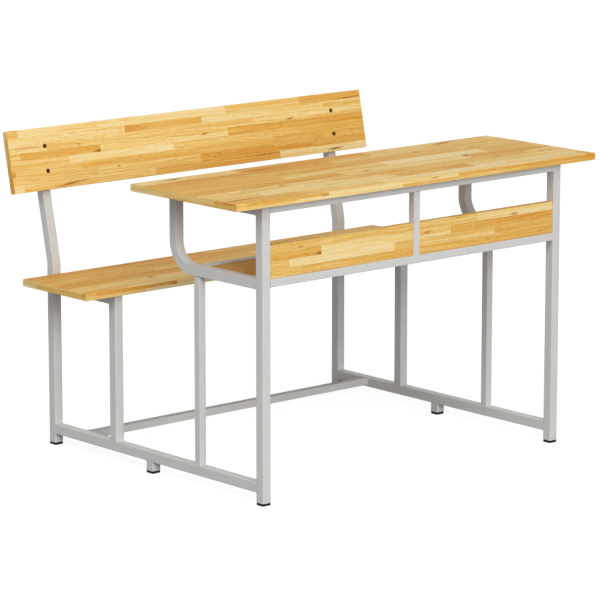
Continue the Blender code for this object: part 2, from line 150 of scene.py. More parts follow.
# Adds one shader node with its settings, its fixed inputs and its links
def addNode(tree, kind, links=None, values=None, stops=None, **settings):
    node = tree.nodes.new("ShaderNode" + kind)
    for name, value in settings.items():
        setattr(node, name, value)
    for name, value in (values or {}).items():
        node.inputs[name].default_value = value
    for name, source in (links or {}).items():
        tree.links.new(source, node.inputs[name])
    for index, (place, color) in enumerate(stops or ()):
        ramp = node.color_ramp.elements
        stop = ramp[index] if index < 2 else ramp.new(place)
        stop.position = place
        stop.color = color
    return node


def startMaterial(name, **shaderValues):
    material = bpy.data.materials.new(name)
    material.use_nodes = True
    shader = material.node_tree.nodes["Principled BSDF"]
    for socket, value in shaderValues.items():
        shader.inputs[socket.replace("_", " ")].default_value = value
    return material, material.node_tree, shader


# Links the colour, lets a pattern swing the roughness, and raises another one as relief. A look's
# roughness is its least and its most, its relief a strength and a height in metres.
def finishMaterial(tree, shader, look, color, swing, raised=None):
    least, most = look["roughness"]
    rough = addNode(tree, "MapRange", {"Value": swing}, {"To Min": least, "To Max": most})
    tree.links.new(color, shader.inputs["Base Color"])
    tree.links.new(rough.outputs[0], shader.inputs["Roughness"])
    if raised:
        strength, height = look["relief"]
        bump = addNode(tree, "Bump", {"Height": raised}, {"Strength": strength, "Distance": height})
        tree.links.new(bump.outputs[0], shader.inputs["Normal"])


# Rubberwood staves under satin lacquer. The tone runs from cream to orange and differs from stave
# to stave. Along the stave go straight fibres, soft growth bands, a light speckle, short brown
# pores and a few reddish flecks, and here and there it has a knot or a streak.
woodLook = {
    "specular": 0.05,
    "tones": ((0, "#EED7A2"), (0.1, "#EAD298"), (0.3, "#EAC981"), (0.5, "#E4BA6A"),
              (0.7, "#DCAC56"), (0.9, "#DFA853"), (1, "#D2943D")),
    "figures": {               # each noise's length and width in mm, detail and roughness
        "drift": (380, 8, 1, 0.5),
        "fibres": (260, 2.8, 3, 0.85),   # wider than real fibres, which wouldn't show in the render
        "speckle": (14, 1.7, 1, 0.5),
        "bandWarp": (260, 30, 1, 0.5),
        "pores": (24, 1.4, 1, 0.5),      # rows of them, as single pores are too fine for the render
        "flecks": (16, 3.5, 2, 0.5),
        "markWobble": (9, 3, 2, 0.5),
    },
    "bandMm": 7.0,
    "bandShift": 5,            # how many bands the warp moves a band by
    "sway": {                  # how far each of these moves the tone, and its own middle
        "drift": (0.75, 0.5), "fibres": (0.9, 0.5), "speckle": (0.35, 0.5), "bands": (0.11, 0)},
    "poreColor": "#9A6426",
    "porePeak": (0.6, 0.78),   # a pore starts and is full where its noise passes these
    "poreShares": (0.08, 0.45),          # on the palest staves and on the darkest
    "fleckColor": "#AA641E",
    "fleckPeak": (0.77, 0.83),
    "fleckShare": 0.75,
    "markColors": ("#C67424", "#3C1D09"),
    "markWobble": 0.9,
    "markFade": (1.4, 0.6),    # where on its own map a mark ends, and where it is full
    "roughness": (0.48, 0.62),
    "relief": (0.35, 0.00008),
}


def makeWood():
    look = woodLook
    material, tree, shader = startMaterial("lacquered_rubberwood", Specular_IOR_Level=look["specular"])
    grain = addNode(tree, "UVMap", uv_map="grain").outputs["UV"]
    figures = {}
    for name, (lengthMm, widthMm, detail, roughness) in look["figures"].items():
        space = addNode(tree, "Mapping", {"Vector": grain}, {"Scale": (1000 / lengthMm, 1000 / widthMm, 1)})
        figures[name] = addNode(
            tree, "TexNoise", {"Vector": space.outputs[0]},
            {"Scale": 1, "Detail": detail, "Roughness": roughness}, noise_dimensions="2D").outputs["Fac"]

    across = addNode(tree, "SeparateXYZ", {0: grain}).outputs["Y"]
    turns = addNode(tree, "Math", {0: across}, {1: 1000 / look["bandMm"]}, operation="MULTIPLY").outputs[0]
    warped = addNode(
        tree, "Math", {0: figures["bandWarp"], 2: turns}, {1: look["bandShift"]},
        operation="MULTIPLY_ADD").outputs[0]
    angle = addNode(tree, "Math", {0: warped}, {1: math.tau}, operation="MULTIPLY").outputs[0]
    figures["bands"] = addNode(tree, "Math", {0: angle}, operation="SINE").outputs[0]

    tone = staveTone = addNode(tree, "Attribute", attribute_name="staveTone").outputs["Fac"]
    for name, (share, middle) in look["sway"].items():
        centred = addNode(tree, "Math", {0: figures[name]}, {1: middle}, operation="SUBTRACT").outputs[0]
        tone = addNode(tree, "Math", {0: centred, 2: tone}, {1: share}, operation="MULTIPLY_ADD").outputs[0]
    stops = [(place, hexToLinear(text)) for place, text in look["tones"]]
    color = addNode(tree, "ValToRGB", {"Fac": tone}, stops=stops).outputs["Color"]

    # Pores show where their noise peaks, and more on the darker staves
    least, most = look["poreShares"]
    start, full = look["porePeak"]
    poreShare = addNode(tree, "MapRange", {"Value": staveTone}, {"To Min": least, "To Max": most}).outputs[0]
    poreMask = addNode(
        tree, "MapRange", {"Value": figures["pores"], "To Max": poreShare},
        {"From Min": start, "From Max": full}).outputs[0]
    color = addNode(
        tree, "Mix", {"Factor": poreMask, 6: color}, {7: hexToLinear(look["poreColor"])},
        data_type="RGBA").outputs[2]

    # Flecks lie far apart, at the highest peaks of a coarser noise
    start, full = look["fleckPeak"]
    fleckMask = addNode(
        tree, "MapRange", {"Value": figures["flecks"]},
        {"From Min": start, "From Max": full, "To Max": look["fleckShare"]}).outputs[0]
    color = addNode(
        tree, "Mix", {"Factor": fleckMask, 6: color}, {7: hexToLinear(look["fleckColor"])},
        data_type="RGBA").outputs[2]

    # A knot or a streak is a warped spot round the zero of its own map
    markPlace = addNode(tree, "UVMap", uv_map="mark").outputs["UV"]
    reach = addNode(tree, "VectorMath", {0: markPlace}, operation="LENGTH").outputs["Value"]
    reach = addNode(
        tree, "Math", {0: figures["markWobble"], 2: reach}, {1: look["markWobble"]},
        operation="MULTIPLY_ADD").outputs[0]
    markTone = addNode(tree, "Attribute", attribute_name="markTone").outputs["Fac"]
    markShare = addNode(tree, "Attribute", attribute_name="markShare").outputs["Fac"]
    end, full = look["markFade"]
    markMask = addNode(
        tree, "MapRange", {"Value": reach, "To Max": markShare},
        {"From Min": end, "From Max": full}).outputs[0]
    markStops = [(place, hexToLinear(text)) for place, text in zip((0, 1), look["markColors"])]
    markColor = addNode(tree, "ValToRGB", {"Fac": markTone}, stops=markStops).outputs["Color"]
    color = addNode(
        tree, "Mix", {"Factor": markMask, 6: color, 7: markColor}, data_type="RGBA").outputs[2]

    finishMaterial(tree, shader, look, color, figures["fibres"], figures["fibres"])
    return material


# Light grey polyester powder coat: satin, with a fine orange peel and a faint mottle. The floor
# stretcher's upper side is painted darker in soft patches, as painted shade from the seat and desk above.
coatLook = {
    "specular": 0.22,
    "color": "#CDCCCA",
    "mottle": "#CAC9C7",
    "mottleMm": 60,
    "mottleEnds": (0.35, 0.65),          # all mottle below the first, none above the second
    "peelMm": 2.4,
    "shadeColor": "#95928E",
    "shadePatchMm": 12,
    "shadeDepth": 0.0015,                # the painted shade fades out this far below the tube's top
    "shadePatchEnds": (0.35, 0.6),
    "shadeLeast": 0.7,
    "roughness": (0.37, 0.47),
    "relief": (0.25, 0.00006),
}


def makePowderCoat(name, shadedTop=None):
    look = coatLook
    material, tree, shader = startMaterial(name, Specular_IOR_Level=look["specular"])
    place = addNode(tree, "TexCoord").outputs["Object"]
    mottle = addNode(
        tree, "TexNoise", {"Vector": place}, {"Scale": 1000 / look["mottleMm"], "Detail": 3}).outputs["Fac"]
    start, end = look["mottleEnds"]
    stops = ((start, hexToLinear(look["mottle"])), (end, hexToLinear(look["color"])))
    color = addNode(tree, "ValToRGB", {"Fac": mottle}, stops=stops).outputs[0]
    # Painted shade: the top of the stretcher is darkened in soft patches, for the seat and desk that shade
    # it
    if shadedTop:
        height = addNode(tree, "SeparateXYZ", {0: place}).outputs["Z"]
        upper = addNode(
            tree, "MapRange", {"Value": height},
            {"From Min": shadedTop - look["shadeDepth"], "From Max": shadedTop}).outputs[0]
        patches = addNode(
            tree, "TexNoise", {"Vector": place},
            {"Scale": 1000 / look["shadePatchMm"], "Detail": 4}).outputs["Fac"]
        start, full = look["shadePatchEnds"]
        patchShade = addNode(
            tree, "MapRange", {"Value": patches},
            {"From Min": start, "From Max": full, "To Min": look["shadeLeast"]}).outputs[0]
        shadeMask = addNode(tree, "Math", {0: upper, 1: patchShade}, operation="MULTIPLY").outputs[0]
        color = addNode(
            tree, "Mix", {"Factor": shadeMask, 6: color}, {7: hexToLinear(look["shadeColor"])},
            data_type="RGBA").outputs[2]
    peel = addNode(
        tree, "TexNoise", {"Vector": place}, {"Scale": 1000 / look["peelMm"], "Detail": 2}).outputs["Fac"]
    finishMaterial(tree, shader, look, color, mottle, peel)
    return material


# Moulded polyethylene caps, dull black, rubbed paler where they stand on the floor
plasticLook = {
    "specular": 0.15,
    "color": "#060606",
    "rubbed": "#1C1C1B",
    "rubbedHeight": 0.0008,
    "rubbedShare": 0.8,
    "rubMm": 10 / 9,
    "grainMm": 0.8,
    "roughness": (0.52, 0.68),
    "relief": (0.3, 0.00005),
}


def makeBlackPlastic():
    look = plasticLook
    material, tree, shader = startMaterial("moulded_black_plastic", Specular_IOR_Level=look["specular"])
    place = addNode(tree, "TexCoord").outputs["Object"]
    height = addNode(tree, "SeparateXYZ", {0: place}).outputs["Z"]
    low = addNode(
        tree, "MapRange", {"Value": height},
        {"From Min": look["rubbedHeight"], "From Max": 0, "To Max": look["rubbedShare"]}).outputs[0]
    rubs = addNode(
        tree, "TexNoise", {"Vector": place}, {"Scale": 1000 / look["rubMm"], "Detail": 3}).outputs["Fac"]
    rubbed = addNode(tree, "Math", {0: low, 1: rubs}, operation="MULTIPLY").outputs[0]
    stops = ((0, hexToLinear(look["color"])), (1, hexToLinear(look["rubbed"])))
    color = addNode(tree, "ValToRGB", {"Fac": rubbed}, stops=stops).outputs[0]
    grain = addNode(
        tree, "TexNoise", {"Vector": place}, {"Scale": 1000 / look["grainMm"], "Detail": 1}).outputs["Fac"]
    finishMaterial(tree, shader, look, color, rubs, grain)
    return material


# Screws: bright zinc under the boards, black phosphate in the backrest, both a little blotchy
zincLook = {"name": "zinc_plated_steel", "metallic": 1, "colors": ("#A9ADAE", "#C8C9C2"),
            "colorEnds": (0.35, 0.65), "blotchMm": 2.5, "roughness": (0.24, 0.44)}
phosphateLook = {"name": "black_phosphate_steel", "metallic": 0.6, "colors": ("#141210", "#2B2622"),
                 "colorEnds": (0.35, 0.65), "blotchMm": 1.5, "roughness": (0.5, 0.7)}


def makePlatedSteel(look):
    material, tree, shader = startMaterial(look["name"], Metallic=look["metallic"])
    place = addNode(tree, "TexCoord").outputs["Object"]
    blotch = addNode(
        tree, "TexNoise", {"Vector": place}, {"Scale": 1000 / look["blotchMm"], "Detail": 3}).outputs["Fac"]
    stops = [(share, hexToLinear(text)) for share, text in zip(look["colorEnds"], look["colors"])]
    color = addNode(tree, "ValToRGB", {"Fac": blotch}, stops=stops).outputs[0]
    finishMaterial(tree, shader, look, color, blotch)
    return material


wood = makeWood()
powderCoat = makePowderCoat("grey_powder_coat")
# The floor stretcher's coat carries painted shade on its upper side
topShadedCoat = makePowderCoat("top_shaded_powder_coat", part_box("floor_stretcher")[1].z)
blackPlastic = makeBlackPlastic()
zinc = makePlatedSteel(zincLook)
phosphate = makePlatedSteel(phosphateLook)
print("materials made")


# Square tubes. Each is a block whose long edges are rounded, opened at both ends and given a wall
tubeLook = {
    "cornerRadius": 0.0013,
    "cornerSteps": 4,
    "wall": 0.0015,
    "capFlange": 0.0065,      # tubes end here above the floor, and this far below a post's top
    "capped": ("front_leg", "stub_foot"),
    "upright": ("front_leg", "stub_foot", "middle_post", "bench_leg"),
    "frontToBack": ("floor_rail", "desk_side_rail", "seat_side_rail"),
    "sideToSide": ("desk_front_rail", "desk_back_rail", "shelf_front_rail", "shelf_back_rail",
                   "seat_cross_rail", "floor_stretcher"),
}


# The end faces are the only ones with more than four corners
def hollowTube(tube):
    selectWhere(tube, "FACE", lambda points: len(points) > 4)
    bpy.ops.mesh.delete(type="FACE")
    bpy.ops.object.mode_set(mode="OBJECT")
    applyModifier(tube, "SOLIDIFY", thickness=tubeLook["wall"], offset=-1, use_even_offset=True)
    shadePiece(tube)


def makeStraightTube(node, run):
    low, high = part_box(node)
    if node.startswith(tubeLook["capped"]):
        low.z = tubeLook["capFlange"]
    tube = addBlock(node + "_tube", low, high)
    bevelWhere(tube, runsAlong(run), tubeLook["cornerRadius"], tubeLook["cornerSteps"])
    hollowTube(tube)
    dress(tube, topShadedCoat if node == "floor_stretcher" else powderCoat, "grey_powder_coat", node)


for name in tubeLook["upright"]:
    for side in sides:
        makeStraightTube(f"{name}_{side}", 2)
makeStraightTube("centre_post", 2)
for name in tubeLook["frontToBack"]:
    for side in sides:
        makeStraightTube(f"{name}_{side}", 1)
for name in tubeLook["sideToSide"]:
    makeStraightTube(name, 0)
print("straight tubes made")


# Bent tubes. A rounded square is pulled along, spun round the bend and pulled on.
bendLook = {"width": 0.025, "railRadius": 0.065, "railSteps": 28, "postRadius": 0.060, "postSteps": 8,
            "postBendHeight": 0.478, "leanDegrees": 12}
lean = math.radians(bendLook["leanDegrees"])
leanUp = Vector((0, math.sin(lean), math.cos(lean)))
leanBack = Vector((0, math.cos(lean), -math.sin(lean)))


def startBentTube(name, place, turn):
    deselectAll()
    bpy.ops.mesh.primitive_plane_add(size=bendLook["width"], calc_uvs=False, location=place, rotation=turn)
    tube = bpy.context.object
    tube.name = name
    applyPlace(tube)
    bpy.ops.object.mode_set(mode="EDIT")
    bpy.ops.mesh.select_all(action="SELECT")
    bpy.ops.mesh.bevel(
        offset=tubeLook["cornerRadius"], segments=tubeLook["cornerSteps"], affect="VERTICES")
    return tube


def pullEnd(offset):
    bpy.ops.mesh.extrude_region_move(TRANSFORM_OT_translate={"value": offset})


def finishBentTube(tube, node):
    bpy.ops.mesh.select_all(action="SELECT")
    bpy.ops.mesh.remove_doubles(threshold=nearly / 10)
    bpy.ops.mesh.normals_make_consistent(inside=False)
    bpy.ops.object.mode_set(mode="OBJECT")
    hollowTube(tube)
    dress(tube, powderCoat, "grey_powder_coat", node)


def makeCurvedRail(node):
    low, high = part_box(node)
    half = bendLook["width"] / 2
    radius = bendLook["railRadius"]
    x = (low.x + high.x) / 2
    bendStart = high.y - half - radius
    tube = startBentTube(node + "_tube", (x, low.y, low.z + half), (math.pi / 2, 0, 0))
    pullEnd((0, bendStart - low.y, 0))
    bpy.ops.mesh.spin(
        steps=bendLook["railSteps"], angle=-math.pi / 2, center=(x, bendStart, low.z + half + radius),
        axis=(1, 0, 0))
    pullEnd((0, 0, high.z - low.z - half - radius))
    finishBentTube(tube, node)


def makeBackPost(node):
    low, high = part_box(node)
    half = bendLook["width"] / 2
    radius = bendLook["postRadius"]
    shortening = (radius + half) * math.tan(lean / 2)     # what the bend takes from either straight
    x = (low.x + high.x) / 2
    y = low.y + half
    bendStart = bendLook["postBendHeight"] - shortening
    slopeLength = (high.z - bendLook["postBendHeight"]) / math.cos(lean) - shortening
    slopeLength -= tubeLook["capFlange"] - low.z          # a flange is a little thicker than the CAD's
    low.z = tubeLook["capFlange"]
    tube = startBentTube(node + "_tube", (x, y, low.z), (0, 0, 0))
    pullEnd((0, 0, bendStart - low.z))
    bpy.ops.mesh.spin(
        steps=bendLook["postSteps"], angle=lean, center=(x, y + radius, bendStart), axis=(1, 0, 0))
    pullEnd(leanUp * slopeLength)
    finishBentTube(tube, node)


for side in sides:
    makeCurvedRail("curved_rail_" + side)
    makeBackPost("back_post_" + side)
print("bent tubes made")


# Weld beads in the inner corners where a tube's end meets another tube's face. Each row says
# which tube, along which axis it runs, at which end, and on which of its sides a bead lies.
beadLook = {"radius": 0.0017, "facets": 10, "length": 0.019, "ripples": 12, "rippleShare": 0.90,
            "endInset": 0.4, "lift": 0.0005, "smoothDegrees": 60}
beadPlan = (
    ("floor_rail_", "y", "low high", "-z +z"),
    ("desk_side_rail_", "y", "low high", "-z"),
    ("seat_side_rail_", "y", "low high", "-z"),
    ("curved_rail_", "y", "low", "-z +z"),
    ("middle_post_", "z", "low high", "-y +y"),
    ("bench_leg_", "z", "low", "-y +y"),
    ("stub_foot_", "z", "high", "-y +y"),
    ("desk_front_rail", "x", "low high", "-z +y"),
    ("desk_back_rail", "x", "low high", "-z -y"),
    ("shelf_front_rail", "x", "low high", "-z"),
    ("shelf_back_rail", "x", "low high", "-z +y"),
    ("seat_cross_rail", "x", "low high", "-z -y +y"),
    ("floor_stretcher", "x", "low high", "-z -y +y"),
    ("centre_post", "z", "low high", "-x +x"),
)
beadTurns = ((0, 0, 0), (0, 0, math.pi / 2), (0, math.pi / 2, 0))      # along X, Y and Z


# One bead along X: a rod in short rings, every second ring a little thinner, with small ends
def makeBead():
    deselectAll()
    bpy.ops.mesh.primitive_cylinder_add(
        vertices=beadLook["facets"], radius=beadLook["radius"], depth=beadLook["length"],
        calc_uvs=False, rotation=(0, math.pi / 2, 0))
    bead = bpy.context.object
    applyPlace(bead)
    count = beadLook["ripples"]
    step = beadLook["length"] / count
    for ring in range(1, count):
        selectWhere(bead, "FACE", lambda points: True)
        bpy.ops.mesh.bisect(plane_co=(ring * step - beadLook["length"] / 2, 0, 0), plane_no=(1, 0, 0))
        if ring % 2:
            share = beadLook["rippleShare"]
            bpy.ops.transform.resize(value=(1, share, share))
    selectWhere(bead, "FACE", lambda points: len(points) > 4)
    bpy.ops.mesh.inset(thickness=beadLook["radius"] * beadLook["endInset"])
    bpy.ops.object.mode_set(mode="OBJECT")
    return bead


def placeBead(source, low, high, run, atLow, beadSide):
    sign = 1 if beadSide[0] == "+" else -1
    out = "xyz".index(beadSide[1])
    along = 3 - run - out
    point = (low + high) / 2
    point[run] = (low if atLow else high)[run] + beadLook["lift"] * (1 if atLow else -1)
    point[out] = (low if sign < 0 else high)[out] + sign * beadLook["lift"]
    bead = copyPiece(source, "weld_bead")
    bead.rotation_euler = beadTurns[along]
    width = (high - low)[along] - 2 * tubeLook["cornerRadius"]
    bead.scale = (width / beadLook["length"], 1, 1)
    bead.location = point
    return bead


def makeWelds():
    source = makeBead()
    beads = []
    for prefix, runName, ends, beadSides in beadPlan:
        names = [prefix + side for side in sides] if prefix.endswith("_") else [prefix]
        for node in names:
            low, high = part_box(node)
            if prefix == "curved_rail_":
                high.z = low.z + bendLook["width"]        # its level end
            for end in ends.split():
                for beadSide in beadSides.split():
                    beads.append(placeBead(source, low, high, "xyz".index(runName), end == "low", beadSide))
    bpy.data.objects.remove(source)
    deselectAll()
    for bead in beads:
        bead.select_set(True)
    bpy.context.view_layer.objects.active = beads[0]
    bpy.ops.object.transform_apply(location=True, rotation=True, scale=True)
    bpy.ops.object.join()
    welds = bpy.context.object
    welds.name = "weld_beads"
    bpy.ops.object.shade_smooth_by_angle(angle=math.radians(beadLook["smoothDegrees"]))
    dress(welds, powderCoat, "grey_powder_coat")
    return len(beads)


print("weld beads made:", makeWelds())


# Boards. The lay-up below is read off the backrest, from its upper edge down: for each row where
# each stave ends, in mm from the left, its tone, and where it has a knot or streak: the kind,
# the place along the board, and the share of the row's width above its middle.
toneShares = {"cream": 0.1, "pale": 0.3, "straw": 0.4, "honey": 0.5, "amber": 0.7, "tan": 0.82,
              "orange": 0.92}
markKinds = {      # half length in mm, half width as a share of the row, slant, darkness, strength
    "knot": (20, 0.20, 0.06, 0.3, 0.9),
    "pin": (9, 0.16, 0.0, 0.5, 0.8),
    "streak": (72, 0.22, 0.33, 0.3, 1.0),
    "line": (75, 0.16, 0.08, 0.3, 0.9),
    "stain": (80, 0.22, 0.0, 0.0, 0.6),
    "shade": (120, 0.8, 0.0, 0.0, 0.5),
    "scar": (32, 0.45, 0.0, 0.6, 1.0),
    "dark": (36, 0.20, 0.05, 0.75, 1.0),
}
staveRows = (
    ((32, "amber"), (288, "pale"), (717, "cream"), (977, "honey"), (1200, "tan", "line", 1150, -0.4)),
    ((375, "pale"), (632, "amber", "shade", 375, 0.0), (1063, "pale"), (1200, "honey")),
    ((117, "pale", "stain", 60, 0.1), (546, "honey", "pin", 222, -0.2), (805, "honey"),
     (1200, "pale", "knot", 938, -0.3)),
    ((31, "honey"), (288, "tan", "scar", 290, -0.4), (717, "pale", "knot", 637, 0.1), (1200, "orange")),
    ((186, "honey"), (528, "cream"), (869, "honey"), (1200, "amber")),
    ((11, "orange"), (223, "honey"), (869, "amber"), (1200, "amber")),
    ((271, "honey"), (613, "honey", "pin", 340, 0.35), (869, "orange"), (1200, "orange")),
    ((31, "cream"), (458, "honey", "streak", 180, -0.05), (888, "orange", "line", 835, 0.35),
     (1200, "pale", "dark", 1085, -0.1)),
)
boardLook = {
    "edgeRound": 0.001,
    "roundSteps": 3,
    "layupLength": 1.2,
    "edgeRows": (3, 4),       # the rows that a long edge shows, in its upper and its lower half
    "leastCut": 0.002,        # no joint comes closer to the board's end than this
    "seed": 5,
    "toneSpread": 0.06,
    "grainReach": 3,          # each stave's figure starts somewhere within this many metres
    "grainRow": 0.020,        # the figure keeps its width here and grows with wider staves
    "farFromMark": (9, 9),
    "holeShade": (0.95, 0.6, 0.85),           # tone, darkness and strength of the painted shade in a drilled hole
}
# Flat boards show the lay-up turned half round, cut equally at front and back where they are
# narrower. The end strips are read from back to front, or from top to bottom.
flatBoard = {"turn": 0, "rows": (7, 6, 5, 4, 3, 2, 1, 0), "rowWidth": 0.050, "turned": True}
panelBoard = {"turn": 90, "rows": (2, 3, 4, 5), "rowWidth": 0.02025, "turned": False,
              "ends": (((81, "honey"),), ((81, "amber"),))}
boards = {
    "desktop": {**flatBoard, "ends": (
        ((317, "pale"), (400, "orange")), ((125, "pale"), (317, "honey"), (400, "amber")))},
    # The seat's flat faces are toned darker, as painted shade from the desk and backrest
    "seat": {**flatBoard, "flatShadeTone": 0.08, "ends": (
        ((248, "straw"), (259, "orange"), (265, "pale")), ((56, "cream"), (265, "honey")))},
    "book_shelf": {**flatBoard, "ends": (
        ((90, "honey"), (240, "amber")), ((150, "amber"), (240, "honey")))},
    "front_panel_left": panelBoard,
    "front_panel_right": panelBoard,
    "backrest": {"turn": 90 - bendLook["leanDegrees"], "rows": (0, 1, 2, 3, 4, 5, 6, 7),
                 "rowWidth": 0.020, "turned": False, "height": 0.160, "thickness": 0.018,
                 "screwInset": 0.048, "holeRadius": 0.0060, "holeFacets": 32, "holeDepth": 0.010,
                 "ends": (((21, "pale"), (110, "amber"), (160, "orange")),
                          ((21, "cream"), (85, "honey"), (160, "amber")))},
}


# Cuts the faces that pass a test at a place along an axis, in the board's own lying position
def cutBoard(board, size, axis, place, test):
    if abs(place) >= size[axis] / 2 - boardLook["leastCut"]:
        return
    point, normal = Vector(), Vector()
    point[axis] = place
    normal[axis] = 1
    selectWhere(board, "FACE", test)
    bpy.ops.mesh.bisect(plane_co=point, plane_no=normal, threshold=nearly / 100)
    bpy.ops.object.mode_set(mode="OBJECT")


# Cuts the board along the joints between its staves, so that each face lies in one stave
def cutStaves(board, look, size, middle):
    rowWidth = look["rowWidth"]
    layupTop = rowWidth * len(look["rows"]) / 2
    layupLeft = -boardLook["layupLength"] / 2
    for number in range(1, len(look["rows"])):
        cutBoard(board, size, 1, layupTop - number * rowWidth, lambda points: True)
    for number, rowIndex in enumerate(look["rows"]):
        top = layupTop - number * rowWidth + nearly
        bottom = top - rowWidth - 2 * nearly
        for stave in staveRows[rowIndex][:-1]:
            x = layupLeft + stave[0] / 1000
            x = (-x if look["turned"] else x) - middle.x
            cutBoard(board, size, 0, x, lambda points: all(bottom < p.y < top for p in points))
    rim = boardLook["edgeRound"] + nearly
    cutBoard(board, size, 2, 0, lambda points: True)
    for strip, rowIndex in enumerate(boardLook["edgeRows"]):
        sign = 1 - 2 * strip
        for stave in staveRows[rowIndex][:-1]:
            x = layupLeft + stave[0] / 1000 - middle.x
            cutBoard(board, size, 0, x, lambda points: all(
                abs(p.y) > size.y / 2 - rim and p.z * sign > -nearly for p in points))
        for stave in look["ends"][strip][:-1]:
            y = size.y / 2 - stave[0] / 1000
            cutBoard(board, size, 1, y, lambda points: all(
                abs(p.x) > size.x / 2 - rim and p.z * sign > -nearly for p in points))


def drillBackrest(board, size, look):
    tubeLow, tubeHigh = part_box("front_leg_right")
    reach = (tubeLow.x + tubeHigh.x) / 2
    height = size.y / 2 - look["screwInset"]
    for x in (-reach, reach):
        for y in (-height, height):
            deselectAll()
            bpy.ops.mesh.primitive_cylinder_add(
                vertices=look["holeFacets"], radius=look["holeRadius"], depth=2 * look["holeDepth"],
                calc_uvs=False, location=(x, y, size.z / 2))
            cutter = bpy.context.object
            applyPlace(cutter)
            cutAway(board, cutter)


# Says which stave a face belongs to and how that stave lies: its row of the lay-up, the random
# key of the stave, the axes along and across it, its width and the middle of its row
def readStave(face, look, size, middle):
    centre, normal = face.center, face.normal
    strip = 0 if centre.z > 0 else 1                      # the upper or the lower half of an edge
    along, across, width = 0, 2, size.z / 2
    rowMiddle = size.z / 4 * (1 - 2 * strip)
    fromLeft = (centre.x + middle.x + boardLook["layupLength"] / 2) * 1000
    flat = abs(normal.z) >= max(abs(normal.x), abs(normal.y))
    if flat:
        across, width = 1, look["rowWidth"]
        layupTop = width * len(look["rows"]) / 2
        number = min(max(int((layupTop - centre.y) / width), 0), len(look["rows"]) - 1)
        rowMiddle = layupTop - (number + 0.5) * width
        row = staveRows[look["rows"][number]]
        if look["turned"]:
            fromLeft = boardLook["layupLength"] * 1000 - fromLeft
    elif abs(normal.y) >= abs(normal.x):
        number = boardLook["edgeRows"][strip]
        row = staveRows[number]
    else:
        number, row, along = strip, look["ends"][strip], 1
        fromLeft = (size.y / 2 - centre.y) * 1000
    index = next((place for place, stave in enumerate(row) if fromLeft <= stave[0]), len(row) - 1)
    return row[index], f"{along}{across} {number} {index}", flat, along, across, width, rowMiddle


# Writes each face's tone, the grain's own map in metres, and the map of its knot or streak
def paintStaves(board, node, look, size, middle):
    mesh = board.data
    faceNumbers = ("staveTone", "markTone", "markShare")
    for name in faceNumbers:
        mesh.attributes.new(name, "FLOAT", "FACE")
    for name in ("grain", "mark"):
        mesh.uv_layers.new(name=name)
    tones, markTones, markShares = [mesh.attributes[name] for name in faceNumbers]
    grainMap, markMap = mesh.uv_layers["grain"], mesh.uv_layers["mark"]
    for face in mesh.polygons:
        stave, key, flat, along, across, width, rowMiddle = readStave(face, look, size, middle)
        chance = random.Random(f"{boardLook['seed']} {node} {key}")
        spread, reach = boardLook["toneSpread"], boardLook["grainReach"]
        tone = toneShares[stave[1]] + chance.uniform(-spread, spread)
        # Painted shade: a board's flat faces may be toned darker
        if flat:
            tone += look.get("flatShadeTone", 0)
        shift = (chance.uniform(0, reach), chance.uniform(0, reach))
        figure = boardLook["grainRow"] / width if flat else 1
        markTone, markShare, mark = 0, 0, None
        # Faces inside a drilled hole get painted shade, a dark brown, in place of their stave's colour
        if all(half - abs(place) > boardLook["edgeRound"] / 2 for place, half in zip(face.center, size / 2)):
            tone, markTone, markShare = boardLook["holeShade"]
        elif len(stave) > 2:
            length, breadth, slant, markTone, markShare = markKinds[stave[2]]
            turned = flat and look["turned"]
            x = stave[3] / 1000
            x = (boardLook["layupLength"] - x if turned else x) - boardLook["layupLength"] / 2 - middle.x
            mark = (x, rowMiddle + stave[4] * width * (-1 if turned else 1))
        tones.data[face.index].value = tone
        markTones.data[face.index].value = markTone
        markShares.data[face.index].value = markShare
        for corner in face.loop_indices:
            point = mesh.vertices[mesh.loops[corner].vertex_index].co
            grainMap.data[corner].uv = (point[along] + shift[0], point[across] * figure + shift[1])
            if mark:
                offset = (point[along] - mark[0]) * 1000 / length
                lift = (point[across] - mark[1]) / (breadth * width) - offset * slant / breadth
                markMap.data[corner].uv = (offset, lift)
            else:
                markMap.data[corner].uv = (0, 0) if markShare else boardLook["farFromMark"]


def makeBoard(node, look):
    low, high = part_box(node)
    middle = (low + high) / 2
    size = high - low
    if look["turn"]:
        size = Vector((size.x, look.get("height", size.z), look.get("thickness", size.y)))
    board = addBlock(node + "_staves", -size / 2, size / 2)
    bevelWhere(board, lambda points: True, boardLook["edgeRound"], boardLook["roundSteps"])
    cutStaves(board, look, size, middle)
    if node == "backrest":
        drillBackrest(board, size, look)
    paintStaves(board, node, look, size, middle)
    board.rotation_euler.x = math.radians(look["turn"])
    board.location = middle
    applyPlace(board)
    shadePiece(board)
    dress(board, wood, "laminated_wood", node)
    print("board made:", node, len(board.data.polygons), "faces")


for node, look in boards.items():
    makeBoard(node, look)


# Plastic caps: a flange with round corners and a softened rim, and a tapered stem in the tube
capLook = {"width": 0.025, "flange": tubeLook["capFlange"], "corner": 0.002, "cornerSteps": 4,
           "rim": 0.0004, "rimSteps": 3, "wall": 0.0019, "stem": 0.014, "stemTaper": 0.96}


def makeCap():
    half = capLook["width"] / 2
    cap = addBlock("cap", Vector((-half, -half, 0)), Vector((half, half, capLook["flange"])))
    bevelWhere(cap, runsAlong(2), capLook["corner"], capLook["cornerSteps"])
    bevelWhere(cap, lambda points: max(p.z for p in points) < nearly, capLook["rim"], capLook["rimSteps"])
    selectWhere(cap, "FACE", lambda points: min(p.z for p in points) > capLook["flange"] - nearly)
    bpy.ops.mesh.inset(thickness=capLook["wall"])
    pullEnd((0, 0, capLook["stem"]))
    bpy.ops.transform.resize(value=(capLook["stemTaper"], capLook["stemTaper"], 1))
    bpy.ops.object.mode_set(mode="OBJECT")
    shadePiece(cap)
    return cap


